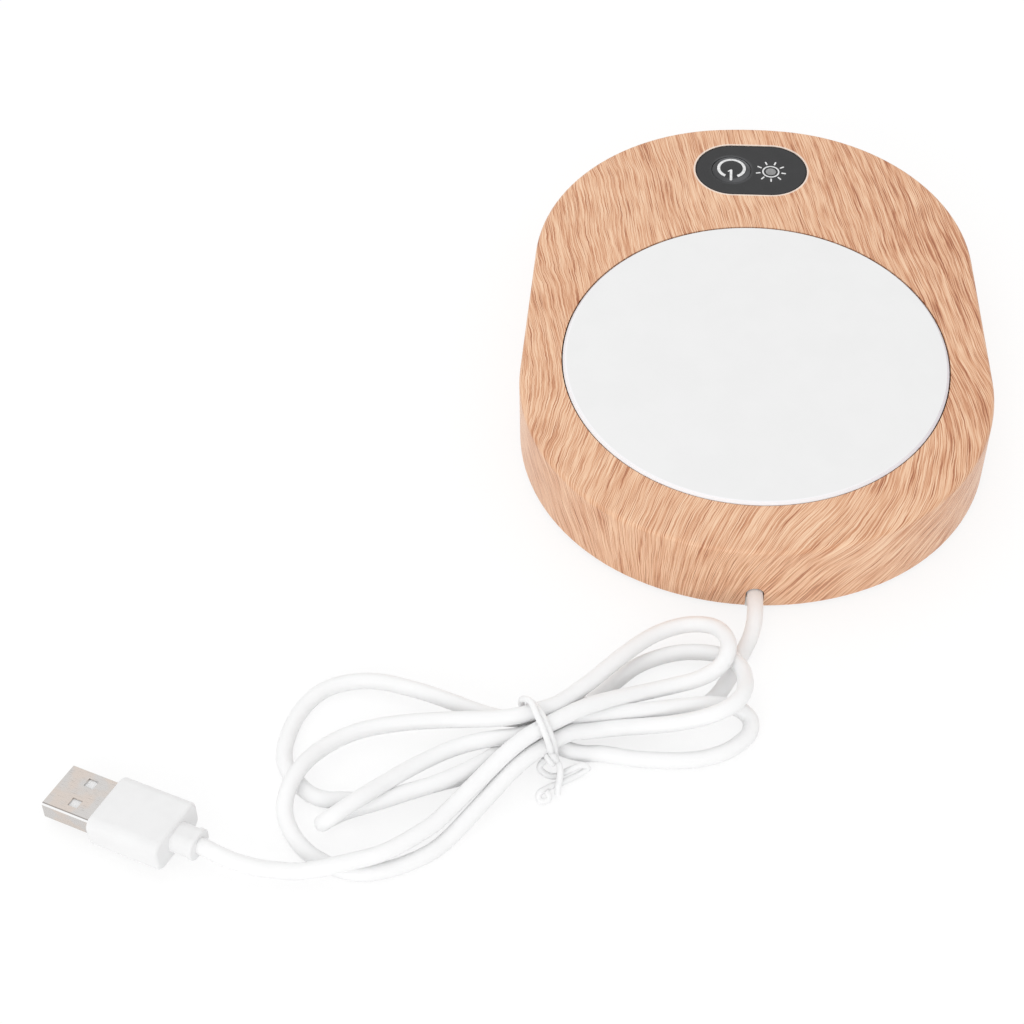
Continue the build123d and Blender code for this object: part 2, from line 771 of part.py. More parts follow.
def power_wires():
    z = cord_exit_z
    turn_y = cord_end_y + power_wire_lead
    side_y = turn_y + power_wire_cross
    end_y = board_front + power_wire_land
    wires = []
    for x in (-power_wire_offset, power_wire_offset):
        side_x = x + power_wire_swing
        route = [(x, cord_end_y, z), (x, turn_y, z), (side_x, side_y, z), (side_x, end_y, z)]
        route.append((side_x, end_y, board_bottom))
        wires.append(wire(route, wire_radius, wire_bend))
    return Compound(children=wires)


def plug_block(low_x, high_x, width, height, rounding):
    # a rounded bar along the plug's own axis
    section = Plane.YZ * RectangleRounded(width, height, rounding)
    return Pos(low_x, 0, 0) * extrude(section, high_x - low_x)


def usb_shell():
    length = shell_length + shell_buried
    shell = plug_block(0, length, shell_width, shell_height, shell_round)
    inner_width = shell_width - 2 * shell_wall
    inner_height = shell_height - 2 * shell_wall
    shell -= plug_block(-1, length + 1, inner_width, inner_height, shell_round - shell_wall)
    for side in (-1, 1):
        shell -= Pos(window_reach, side * window_offset, 0) * Box(*window_size, shell_height * 2)
    return shell


def usb_tongue():
    # insulator in the upper half of the shell, with a block that closes its back
    top = shell_height / 2 - shell_wall - tongue_plug_gap
    width = shell_width - 2 * shell_wall - 2 * tongue_plug_gap
    length = shell_length + shell_buried
    tongue = Pos(tongue_plug_recess, 0, top - tongue_plug_thickness) * Box(
        length - tongue_plug_recess, width, tongue_plug_thickness, align=(Align.MIN, Align.CENTER, Align.MIN))
    back = Pos(shell_length, 0, -top) * Box(
        shell_buried, width, 2 * top, align=(Align.MIN, Align.CENTER, Align.MIN))
    return tongue + back


def usb_contacts():
    low = shell_height / 2 - shell_wall - tongue_plug_gap - tongue_plug_thickness
    start = tongue_plug_recess + contact_recess
    strip = Box(contact_length, contact_width, contact_thickness, align=(Align.MIN, Align.CENTER, Align.MAX))
    offsets = [(step - (contact_count - 1) / 2) * contact_pitch for step in range(contact_count)]
    return Compound(children=[Pos(start, offset, low) * strip for offset in offsets])


def usb_overmold():
    body = plug_block(mold_start, mold_end, mold_width, mold_height, mold_round)
    body = fillet(body.edges().group_by(Axis.X)[0] + body.edges().group_by(Axis.X)[-1], mold_end_round)
    neck = plug_block(mold_end - mold_end_round, neck_end, neck_width, neck_height, neck_round)
    ring = plug_block(neck_end, plug_end, ring_width, ring_height, ring_round)
    ring = fillet(ring.edges().group_by(Axis.X)[-1], ring_edge_round)
    body += neck + ring
    buried = plug_block(0, shell_length + shell_buried, shell_width, shell_height, shell_round)
    return body - buried


def plug_place():
    # the plug lies tilted, with its lowest corner on the table
    turn = Rot(Z=plug_yaw) * Rot(Y=plug_pitch) * Rot(X=plug_roll)
    turn = turn * Pos(-plug_end, 0, 0)
    low = min((turn * part).bounding_box().min.Z for part in (usb_shell(), usb_overmold()))
    return Pos(plug_x, plug_y, plug_air - low) * turn


def corner_radii(points):
    # each arc is as large as its two runs allow
    radii = []
    for before, here, after in zip(points, points[1:], points[2:]):
        run_in = Vector(*here) - Vector(*before)
        run_out = Vector(*after) - Vector(*here)
        half_turn = math.radians(run_in.get_angle(run_out)) / 2
        radii.append(arc_share * min(run_in.length, run_out.length) / math.tan(half_turn))
    return radii


def cord_tube(name, points):
    radii = corner_radii(points)
    tube = wire(points, cord_radius, radii)
    length = FilletPolyline(*points, radius=radii).length
    share = tube.volume / (math.pi * cord_radius ** 2 * length)
    print(name, "length", round(length, 1), "volume over section times length", round(share, 4))
    print(name, "radii", [round(radius, 1) for radius in radii])
    return tube


def lobe(circles):
    # loops of cord side by side, as the hull round three or four circles
    edges = [(Pos(x, y) * Circle(radius)).edge() for x, y, radius in circles]
    body = extrude(make_hull(edges), lobe_height)
    return Pos(0, 0, lobe_air) * fillet(body.edges().group_by(Axis.Z)[-1], lobe_round)


def bundle_axis_place():
    centre_z = 2 * tie_wire_radius + tie_gap + bundle_radius
    return Pos(bundle_x, bundle_y, centre_z) * Rot(Z=bundle_angle) * Rot(Y=90)


def cord_hank():
    waist = bundle_axis_place() * Cylinder(bundle_radius, bundle_length)
    return lobe(left_lobe) + lobe(right_lobe) + waist


def cord_housing_lead(hank):
    route = [(x, y + front_y, z) for x, y, z in housing_lead]
    return cord_tube("cord_housing_lead", route) - hank


def cord_plug_lead(hank, place):
    neck = place * Pos(plug_end, 0, 0)
    out = place * Pos(plug_end + plug_lead_start, 0, 0)
    route = [tuple(neck.position), tuple(out.position)] + plug_lead
    return cord_tube("cord_plug_lead", route) - hank


def cord_tie():
    # wire ring round the bundle, a knot, a straight tail and a hook with a curled end
    tie = bundle_axis_place() * Torus(bundle_radius + tie_gap + tie_wire_radius, tie_wire_radius)
    tie += Pos(*tie_knot) * Sphere(tie_knot_radius)
    for route in (tie_tail, tie_hook):
        tie += wire(route, tie_wire_radius, 2 * tie_wire_radius)
    curl_x, curl_y = tie_curl
    return tie + Pos(curl_x, curl_y, tie_wire_radius + tie_gap) * Torus(tie_curl_radius, tie_wire_radius)


def save(name, shape):
    shape.label = name
    export_step(shape, "parts/" + name + ".step")


def main():
    os.makedirs("parts", exist_ok=True)
    for piece in (
            upper_housing, base_cover, base_screws, rubber_feet, heating_plate, plate_seal, heater_film,
            heater_tabs, insulation_pad, heater_retainer, retainer_screws, thermistor, control_overlay,
            power_key, light_guide, circuit_board, board_screws, switch_body, switch_plunger, switch_dome,
            switch_legs, indicator_led, controller_chip, heater_transistor, chip_resistors,
            smoothing_capacitor, heater_wires, sensor_wires, power_wires, cord_clamp, clamp_screws,
            cord_inner_end):
        save(piece.__name__, piece())
    place = plug_place()
    for piece in (usb_shell, usb_tongue, usb_contacts, usb_overmold):
        save(piece.__name__, place * piece())
    hank = cord_hank()
    save("cord_hank", hank)
    save("cord_housing_lead", cord_housing_lead(hank))
    save("cord_plug_lead", cord_plug_lead(hank, place))
    save("cord_tie", cord_tie())


main()
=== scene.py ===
import math

import bpy
from mathutils import Matrix, Vector


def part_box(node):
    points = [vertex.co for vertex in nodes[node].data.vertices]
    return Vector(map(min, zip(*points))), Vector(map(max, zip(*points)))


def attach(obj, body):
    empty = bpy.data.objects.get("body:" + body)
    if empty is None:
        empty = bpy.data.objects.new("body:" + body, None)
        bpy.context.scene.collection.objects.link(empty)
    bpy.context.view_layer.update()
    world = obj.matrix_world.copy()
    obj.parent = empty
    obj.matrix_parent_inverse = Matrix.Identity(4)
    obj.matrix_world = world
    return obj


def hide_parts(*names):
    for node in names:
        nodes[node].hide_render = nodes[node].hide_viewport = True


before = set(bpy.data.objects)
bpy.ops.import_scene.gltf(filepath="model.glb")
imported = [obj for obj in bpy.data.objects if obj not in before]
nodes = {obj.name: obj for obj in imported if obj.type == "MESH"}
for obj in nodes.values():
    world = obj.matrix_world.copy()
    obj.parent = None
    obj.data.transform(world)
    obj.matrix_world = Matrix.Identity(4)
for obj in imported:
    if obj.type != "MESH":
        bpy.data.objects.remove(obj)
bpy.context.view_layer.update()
mm = 0.001
bpy.ops.object.select_all(action="DESELECT")
print("frame loaded,", len(nodes), "nodes")


class Signal:
    # a value, colour or vector on its way through a node tree
    def __init__(self, tree, socket=None):
        self.tree = tree
        self.socket = socket

    def node(self, kind, settings=None, inputs=None, output=0):
        made = self.tree.nodes.new("ShaderNode" + kind)
        for name, value in (settings or {}).items():
            if name == "stops":
                ramp = made.color_ramp.elements
                while len(ramp) < len(value):
                    ramp.new(0.5)
                for stop, (place, colour) in zip(ramp, value):
                    stop.position = place
                    stop.color = (*colour, 1)
            else:
                setattr(made, name, value)
        for key, value in (inputs or {}).items():
            if isinstance(value, Signal):
                self.tree.links.new(value.socket, made.inputs[key])
            else:
                made.inputs[key].default_value = value
        return Signal(self.tree, made.outputs[output])

    def math(self, operation, first, second=0.0):
        return self.node("Math", {"operation": operation}, {0: first, 1: second})

    def __add__(self, other):
        return self.math("ADD", self, other)

    def __radd__(self, other):
        return self.math("ADD", other, self)

    def __sub__(self, other):
        return self.math("SUBTRACT", self, other)

    def __rsub__(self, other):
        return self.math("SUBTRACT", other, self)

    def __mul__(self, other):
        return self.math("MULTIPLY", self, other)

    def __rmul__(self, other):
        return self.math("MULTIPLY", other, self)

    def __truediv__(self, other):
        return self.math("DIVIDE", self, other)

    def root(self):
        return self.math("SQRT", self)

    def absolute(self):
        return self.math("ABSOLUTE", self)

    def atLeast(self, low):
        return self.math("MAXIMUM", self, low)

    def sine(self):
        return self.math("SINE", self)

    def between(self, low, high):
        # 0 below low and 1 above high, smooth in between
        settings = {"interpolation_type": "SMOOTHSTEP", "clamp": True}
        return self.node("MapRange", settings, {"Value": self, "From Min": low, "From Max": high})

    def mix(self, first, second):
        # colour first where self is 0, second where it is 1
        colours = {6: first, 7: second}
        for key, colour in colours.items():
            if not isinstance(colour, Signal):
                colours[key] = (*colour, 1)
        return self.node("Mix", {"data_type": "RGBA"}, {"Factor": self, **colours}, 2)

    def vector(self, x, y, z):
        return self.node("CombineXYZ", None, {"X": x, "Y": y, "Z": z})

    def noise(self, where, scale, detail=2.0, rough=0.5):
        inputs = {"Vector": where, "Scale": scale, "Detail": detail, "Roughness": rough}
        return self.node("TexNoise", None, inputs)

    def place(self):
        return self.node("TexCoord", None, None, "Object")

    def millimetres(self, axes):
        # the named parts of the object coordinates
        where = self.place()
        return [self.node("SeparateXYZ", None, {0: where}, axis) / mm for axis in axes]


def newFinish(name, constants):
    # a principled material with its plain values set on the shader's own sockets
    material = bpy.data.materials.new(name)
    material.use_nodes = True
    shader = material.node_tree.nodes["Principled BSDF"]
    for key, value in constants.items():
        shader.inputs[key].default_value = value
    return material, shader, Signal(material.node_tree)


def feed(shader, key, signal):
    signal.tree.links.new(signal.socket, shader.inputs[key])


def emboss(shader, signal, height, strength, distance):
    bump = signal.node("Bump", None, {"Height": height, "Strength": strength, "Distance": distance})
    feed(shader, "Normal", bump)


def paint(names, material):
    for name in names:
        data = nodes[name].data
        data.materials.clear()
        data.materials.append(material)


# what a moulded, cast or plated piece has unless its own settings say otherwise
mouldSettings = {
    "mottle": (180.0, 3.0), "mottleSpan": (0.3, 0.7), "spread": 0.03, "roughnessSpread": 0.1,
    "grain": 3000.0, "strength": 0.12, "depth": 0.00003, "shine": 0.4, "metal": 0.0, "scatter": 0.0,
    "scatterReach": 0.0008}


def mottled(cloudy, colour, spread):
    # the colour, a little deeper where cloudy is low
    deep = [(1 - spread) * part for part in colour]
    return cloudy.between(*mouldSettings["mottleSpan"]).mix(deep, colour)


def uneven(cloudy, roughness, spread):
    # a roughness that strays by half the spread to either side
    return roughness - spread / 2 + cloudy * spread


def mouldedFinish(name, own):
    # moulded, cast or plated stuff with faint mottling and a fine skin
    settings = {**mouldSettings, **own}
    material, shader, signal = newFinish(name, {
        "Roughness": settings["roughness"], "Metallic": settings["metal"],
        "Specular IOR Level": settings["shine"], "Subsurface Weight": settings["scatter"],
        "Subsurface Radius": (1.0, 1.0, 1.0), "Subsurface Scale": settings["scatterReach"]})
    where = signal.place()
    cloudy = signal.noise(where, *settings["mottle"])
    skin = signal.noise(where, settings["grain"])
    feed(shader, "Base Color", mottled(cloudy, settings["colour"], settings["spread"]))
    feed(shader, "Roughness", uneven(cloudy, settings["roughness"], settings["roughnessSpread"]))
    emboss(shader, signal, skin, settings["strength"], settings["depth"])
    return material


# Camera and room

cameraSettings = {
    "spot": (-0.0312, -0.38265, 0.3993), "turn": 4.17, "rise": 49.70, "roll": -1.37, "lens": 78.75,
    "sensor": 36.0, "clip": (0.01, 20.0)}


def addCamera(settings):
    # in degrees: turned about the upright, raised above the level, rolled about the line of view
    bpy.ops.object.camera_add()
    camera = bpy.context.object
    camera.name = "studioCamera"
    camera.data.lens = settings["lens"]
    camera.data.sensor_width = settings["sensor"]
    camera.data.clip_start, camera.data.clip_end = settings["clip"]
    turn = Matrix.Rotation(math.radians(settings["turn"]), 4, "Z")
    rise = Matrix.Rotation(math.radians(90 - settings["rise"]), 4, "X")
    roll = Matrix.Rotation(math.radians(settings["roll"]), 4, "Z")
    camera.matrix_world = Matrix.Translation(settings["spot"]) @ turn @ rise @ roll
    bpy.context.scene.camera = camera


roomSettings = {
    "worldStrength": 0.84, "floorSize": 6.0, "floorShade": 0.9, "floorGlow": 1.06,
    "glowShare": 0.75}
lampSettings = {
    "aim": (-0.03, -0.03, 0.0),
    "lamps": {
        "softTop": {"spot": (-0.25, 0.25, 0.95), "size": 0.7, "power": 0.9},
        "softFront": {"spot": (-0.3, -1.0, 0.45), "size": 0.6, "power": 2.3}}}


def seenPlainly(signal):
    # 1 for camera, glossy and transmission rays
    kinds = ("Is Camera Ray", "Is Glossy Ray", "Is Transmission Ray")
    seen, glossy, through = [signal.node("LightPath", None, None, kind) for kind in kinds]
    return seen.atLeast(glossy.atLeast(through))


def addRoom(settings):
    world = bpy.data.worlds.new("studio")
    world.use_nodes = True
    bpy.context.scene.world = world
    signal = Signal(world.node_tree)
    back = world.node_tree.nodes["Background"]
    back.inputs["Color"].default_value = (1, 1, 1, 1)
    plain = seenPlainly(signal)
    strength = settings["worldStrength"] + plain * (1 - settings["worldStrength"])
    world.node_tree.links.new(strength.socket, back.inputs["Strength"])

    bpy.ops.mesh.primitive_plane_add(size=settings["floorSize"], location=(0, 0, 0))
    floor = bpy.context.object
    floor.name = "studioFloor"
    material = bpy.data.materials.new("floorWhite")
    material.use_nodes = True
    tree = material.node_tree
    signal = Signal(tree)
    shade = settings["floorShade"]
    matte = signal.node("BsdfDiffuse", None, {"Color": (shade, shade, shade, 1)})
    glow = signal.node("Emission", None, {"Color": (1, 1, 1, 1), "Strength": settings["floorGlow"]})
    share = seenPlainly(signal) * settings["glowShare"]
    both = signal.node("MixShader", None, {0: share, 1: matte, 2: glow})
    tree.links.new(both.socket, tree.nodes["Material Output"].inputs["Surface"])
    floor.data.materials.append(material)


def addLamps(settings):
    for name, lamp in settings["lamps"].items():
        bpy.ops.object.light_add(type="AREA", location=lamp["spot"])
        light = bpy.context.object
        light.name = name
        light.data.size = lamp["size"]
        light.data.energy = lamp["power"]
        view = (Vector(settings["aim"]) - light.location).to_track_quat("-Z", "Y")
        light.rotation_euler = view.to_euler()


addCamera(cameraSettings)
addRoom(roomSettings)
addLamps(lampSettings)
bpy.context.scene.view_settings.view_transform = "Standard"
print("camera, floor and lamps placed")


# Cord: one line from the housing through the tied loops to the plug, in millimetres

cordSettings = {
    "diameter": 3.6, "exit": (0.0, -71.15, 5.2), "lineSteps": 6, "roundSteps": 6,
    "vinyl": {"colour": (0.955, 0.955, 0.957), "spread": 0.035, "roughness": 0.42,
              "mottle": (90.0, 3.0), "grain": 900.0, "scatter": 0.45, "scatterReach": 0.002}}
cordRoute = {
    "lead": [
        (0.0, -71.15, 5.2), (0.15, -76.2, 5.2), (-0.7, -81.2, 3.4), (-2.7, -85.2, 2.1),
        (-4.6, -89.5, 1.8), (-6.8, -94.4, 1.8), (-9.6, -98.6, 1.8), (-13.9, -101.2, 1.8),
        (-19.4, -102.1, 1.8), (-25.3, -102.4, 1.8), (-30.2, -102.1, 2.0), (-33.9, -102.8, 4.1),
        (-37.3, -103.4, 6.0), (-40.7, -103.2, 6.3)],
    "throughTieFarSide": [
        (-43.7, -104.8, 6.9), (-49.9, -108.5, 7.0)],
    "leftOuterLoop": [
        (-54.8, -108.0, 6.4), (-59.6, -106.2, 5.8), (-65.0, -103.4, 5.0), (-72.4, -99.9, 4.0),
        (-83.7, -96.1, 2.6), (-92.9, -97.8, 1.9), (-97.6, -102.8, 1.8), (-100.2, -109.5, 1.9),
        (-100.9, -116.1, 1.8), (-99.6, -120.2, 1.9), (-96.5, -123.8, 1.8), (-93.7, -126.4, 1.9),
        (-90.0, -127.4, 1.8), (-86.9, -126.9, 1.8), (-82.9, -127.5, 1.8), (-79.1, -126.6, 1.8),
        (-74.4, -124.8, 1.8), (-69.2, -122.8, 1.8), (-64.5, -121.0, 1.8), (-59.7, -119.7, 1.8),
        (-54.7, -117.9, 2.0)],
    "throughTieNearBelow": [
        (-49.6, -116.0, 3.8), (-43.5, -112.2, 3.6)],
    "rightLowerLoop": [
        (-40.3, -113.2, 2.9), (-36.6, -113.4, 1.9), (-33.0, -112.9, 1.8), (-26.6, -114.1, 1.8),
        (-18.0, -114.3, 1.8), (-11.8, -113.6, 1.8), (-6.3, -111.5, 1.8), (-2.5, -108.1, 1.8),
        (-1.1, -105.8, 1.9), (-1.1, -102.8, 2.2), (-3.5, -101.0, 3.1), (-7.1, -101.1, 4.5),
        (-10.8, -101.7, 5.4), (-15.0, -102.4, 5.6), (-20.5, -103.5, 5.6), (-27.2, -104.5, 5.6),
        (-33.6, -105.8, 6.2)],
    "throughTieMiddle": [
        (-41.2, -107.9, 6.8), (-50.0, -112.9, 7.0)],
    "leftInnerLoop": [
        (-56.3, -113.6, 6.8), (-60.5, -114.4, 6.2), (-65.0, -116.0, 5.8), (-69.3, -118.7, 5.9),
        (-73.2, -121.9, 6.6), (-77.6, -126.2, 7.8), (-81.3, -130.0, 8.9), (-84.8, -133.5, 9.4),
        (-87.5, -136.0, 9.4), (-89.1, -136.5, 8.2), (-89.9, -135.7, 6.2), (-90.1, -134.5, 4.3),
        (-89.7, -133.0, 2.8), (-88.5, -131.4, 1.9), (-86.8, -130.4, 2.0), (-85.0, -130.2, 2.9),
        (-81.9, -130.2, 4.7), (-78.3, -129.4, 5.6), (-73.9, -127.4, 5.6), (-67.9, -124.9, 5.6),
        (-62.2, -121.8, 5.6), (-57.6, -118.4, 5.2), (-53.9, -114.4, 3.8)],
    "throughTieFarBelow": [
        (-51.2, -111.7, 3.6), (-43.2, -106.6, 3.5)],
    "rightMiddleLoop": [
        (-38.7, -103.9, 2.4), (-34.6, -98.4, 1.8), (-30.1, -93.6, 1.8), (-25.8, -89.4, 2.2),
        (-18.0, -85.9, 2.3), (-12.1, -85.9, 2.9), (-7.7, -87.7, 4.6), (-3.7, -90.7, 6.0),
        (-2.3, -96.5, 7.4), (-3.2, -101.7, 8.8), (-6.3, -105.2, 9.0), (-12.0, -107.3, 7.8),
        (-18.5, -107.7, 6.0), (-24.4, -107.8, 5.0), (-30.7, -108.4, 4.8), (-36.3, -110.0, 5.4)],
    "throughTieNearSide": [
        (-40.2, -111.2, 6.8), (-48.2, -117.7, 7.0)],
    "leftMiddleLoop": [
        (-51.7, -121.2, 6.2), (-55.0, -124.9, 4.8), (-59.7, -130.4, 2.9), (-64.3, -136.1, 1.8),
        (-67.5, -139.2, 1.8), (-71.6, -141.7, 1.8), (-76.5, -143.9, 1.8), (-81.6, -144.8, 1.8),
        (-85.9, -144.0, 1.8), (-89.7, -142.4, 1.9), (-93.0, -140.2, 1.8), (-96.4, -136.6, 2.1),
        (-98.5, -132.5, 3.2), (-98.7, -129.1, 4.5), (-97.6, -124.8, 5.6), (-95.2, -119.6, 5.2),
        (-90.8, -114.1, 3.9), (-84.5, -110.3, 3.8), (-75.5, -109.0, 5.0), (-66.7, -109.1, 6.6),
        (-60.6, -109.8, 8.2), (-54.6, -110.3, 9.6)],
    "throughTieFarTop": [
        (-50.1, -109.8, 10.3), (-43.9, -107.2, 10.2)],
    "rightUpperLoop": [
        (-41.8, -105.7, 9.8), (-36.1, -99.9, 9.1), (-29.6, -91.3, 7.3), (-23.1, -84.0, 5.7),
        (-16.6, -80.5, 5.3), (-12.0, -80.6, 6.1), (-8.3, -82.5, 7.5), (-6.2, -86.6, 8.7),
        (-6.2, -90.4, 8.8), (-7.9, -93.5, 7.8), (-12.0, -95.7, 6.3), (-18.3, -97.5, 5.7),
        (-24.6, -99.7, 6.0), (-30.9, -103.0, 8.0), (-36.5, -106.4, 9.8)],
    "throughTieNearTop": [
        (-41.1, -109.6, 10.2), (-48.4, -114.6, 10.2)],
    "plugLead": [
        (-53.0, -118.8, 9.2), (-57.9, -123.9, 7.2), (-63.0, -129.0, 5.0), (-66.7, -133.9, 4.9),
        (-71.0, -137.7, 5.2), (-76.8, -142.1, 5.5), (-83.1, -144.0, 5.3), (-89.2, -145.9, 5.1),
        (-93.6, -146.2, 4.1), (-97.5, -145.9, 3.7), (-102.4, -146.0, 4.5), (-108.0, -145.2, 5.9),
        (-112.2, -143.3, 6.3), (-114.6, -142.2, 6.35)]}


def smoothLine(name, points, radius):
    # a round cord along a smooth line through its control points
    curve = bpy.data.curves.new(name, "CURVE")
    curve.dimensions = "3D"
    curve.bevel_depth = radius * mm
    curve.bevel_resolution = cordSettings["roundSteps"]
    curve.use_fill_caps = True
    spline = curve.splines.new("NURBS")
    spline.points.add(len(points) - 1)
    for spot, (x, y, z) in zip(spline.points, points):
        spot.co = (x * mm, y * mm, z * mm, 1)
    spline.order_u = 3
    spline.use_endpoint_u = True
    spline.resolution_u = cordSettings["lineSteps"]
    piece = bpy.data.objects.new(name, curve)
    bpy.context.scene.collection.objects.link(piece)
    return piece


whiteVinyl = mouldedFinish("whiteVinyl", cordSettings["vinyl"])
cordPoints = [point for run in cordRoute.values() for point in run]
cord = smoothLine("cord", cordPoints, cordSettings["diameter"] / 2)
cord.data.materials.append(whiteVinyl)
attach(cord, "housing")
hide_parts("cord_housing_lead", "cord_hank", "cord_plug_lead")
print("cord laid,", len(cordPoints), "points")


# Tie: one coated wire, from its curled end round the loops twice to its cut end

tieSettings = {
    "middle": (-46.3, -110.6, 7.05), "turn": 31.0, "wire": 0.7,
    # the curled end, and how far back and up its plane leans
    "curlMiddle": (-44.8, -124.2, 1.6), "curlRadius": 1.2, "curlAngles": range(430, 110, -44),
    "curlLean": (0.763, 0.647),
    # from the curled end to the bundle
    "tail": [
        (-43.8, -122.3, 2.2), (-42.6, -121.1, 1.5), (-41.3, -120.4, 1.0), (-39.7, -119.3, 1.0),
        (-37.9, -118.3, 1.0), (-36.4, -117.3, 1.4), (-35.7, -116.9, 1.9), (-36.1, -116.6, 2.5),
        (-37.3, -116.8, 2.8), (-38.8, -117.4, 2.4), (-40.8, -118.2, 1.7), (-42.6, -119.1, 1.4),
        (-44.2, -119.0, 1.7), (-45.5, -118.5, 2.3), (-46.1, -117.9, 3.0), (-45.6, -117.3, 3.8),
        (-44.6, -117.1, 4.6)],
    # points round the bundle: angle in degrees, reach, and place along the bundle
    "rings": [
        (207, 6.3, 0.2), (240, 6.3, 0.0), (275, 6.3, -0.2), (312, 6.3, -0.3), (345, 6.5, -0.5),
        (375, 6.9, -0.9), (400, 7.2, -1.2), (418, 7.4, -0.8), (429, 7.2, -0.55),
        (441, 6.9, -0.7), (456, 6.7, -1.0), (478, 6.6, -1.1), (502, 6.6, -1.14),
        (525, 6.7, -0.97), (549, 6.8, -0.67), (585, 6.5, -0.2), (625, 6.3, 0.3), (665, 6.3, 0.6),
        (705, 6.3, 0.6), (750, 6.3, 0.4), (800, 6.2, 0.2), (826, 6.2, 0.1), (851, 6.2, 0.0),
        (875, 6.2, 0.1), (899, 6.3, 0.3)],
    # from the knot to the cut end
    "stub": [
        (-42.6, -117.1, 5.0), (-41.8, -118.0, 4.4), (-41.5, -119.3, 3.6), (-41.6, -120.8, 2.9),
        (-41.9, -122.2, 1.9), (-41.9, -123.3, 0.9)],
    "knotFrom": (-42.9, -116.4, 6.0), "knotTo": (-44.4, -117.5, 4.9), "knotRadius": 1.2,
    "knotTurns": 2, "knotSteps": 8}


def tieRoute(settings):
    turn = math.radians(settings["turn"])
    middle = Vector(settings["middle"])
    along = Vector((math.cos(turn), math.sin(turn), 0))
    away = Vector((-math.sin(turn), math.cos(turn), 0))
    up = Vector((0, 0, 1))
    rings = []
    for degrees, reach, place in settings["rings"]:
        angle = math.radians(degrees)
        out = math.cos(angle) * away + math.sin(angle) * up
        rings.append(tuple(middle + reach * out + place * along))
    back, rise = settings["curlLean"]
    curl = []
    for degrees in settings["curlAngles"]:
        angle = math.radians(degrees)
        out = Vector((math.cos(angle), back * math.sin(angle), rise * math.sin(angle)))
        curl.append(tuple(Vector(settings["curlMiddle"]) + settings["curlRadius"] * out))
    return curl + settings["tail"] + rings + settings["stub"]


def knotRoute(settings):
    # the turns of wire twisted round both ends, as a short helix
    start = Vector(settings["knotFrom"])
    line = Vector(settings["knotTo"]) - start
    side = line.cross(Vector((0, 0, 1))).normalized()
    above = side.cross(line).normalized()
    step = 2 * math.pi / settings["knotSteps"]
    reach = settings["knotRadius"] / math.cos(step / 2)
    count = settings["knotSteps"] * settings["knotTurns"]
    route = []
    for number in range(count + 1):
        out = math.cos(number * step) * side + math.sin(number * step) * above
        route.append(tuple(start + line * number / count + reach * out))
    return route


tieWire = smoothLine("tieWire", tieRoute(tieSettings), tieSettings["wire"])
tieKnot = smoothLine("tieKnot", knotRoute(tieSettings), tieSettings["wire"])
for piece in (tieWire, tieKnot):
    piece.data.materials.append(whiteVinyl)
    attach(piece, "housing")
    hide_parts("cord_tie")
print("tie wound")


# Panel: one printed film over the panel and the key, with a painted highlight on the shoulder of
# the key

panelLow, panelHigh = (Vector(corner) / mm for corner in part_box("control_overlay"))
keyLow, keyHigh = (Vector(corner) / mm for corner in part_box("power_key"))
lampLow, lampHigh = (Vector(corner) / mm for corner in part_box("light_guide"))
panelSettings = {
    "middleY": (panelLow.y + panelHigh.y) / 2, "half": (panelHigh.y - panelLow.y) / 2,
    "straight": (panelHigh.x - panelLow.x - panelHigh.y + panelLow.y) / 2, "top": panelHigh.z,
    "keyX": (keyLow.x + keyHigh.x) / 2, "keyTop": keyHigh.z, "crown": 35.0,
    "lampX": (lampLow.x + lampHigh.x) / 2, "lampY": (lampLow.y + lampHigh.y) / 2,
    # the edge shade is painted shade: a dark line just inside the edge of the film, where it meets
    # its recess
    "film": (0.024, 0.024, 0.025), "edgeShade": (0.004, 0.002, 0.002), "edgeShadeSpan": (0.1, 0.45),
    # the painted highlight: its radii from the middle of the key, and how it fades round them
    "keyHighlight": (0.15, 0.152, 0.16), "keyHighlightStart": (3.4, 4.3), "keyHighlightEnd": (4.3, 5.9),
    "keyHighlightEverywhere": 0.2, "keyHighlightAlong": 0.17, "keyHighlightBack": 0.06, "keyHighlightRight": 0.07,
    "keyHighlightSpan": (0.1, 1.0), "mottle": (300.0, 3.0), "mottleShare": 0.1, "roughness": 0.45,
    "roughnessSpread": 0.1, "shine": 0.3, "grain": 4000.0, "strength": 0.12, "depth": 0.00002}


def pillDistance(x, y, panel):
    # millimetres inwards from the rounded outline of the panel
    sideways = (x.absolute() - panel["straight"]).atLeast(0.0)
    fromMiddle = y - panel["middleY"]
    return panel["half"] - (sideways * sideways + fromMiddle * fromMiddle).root()


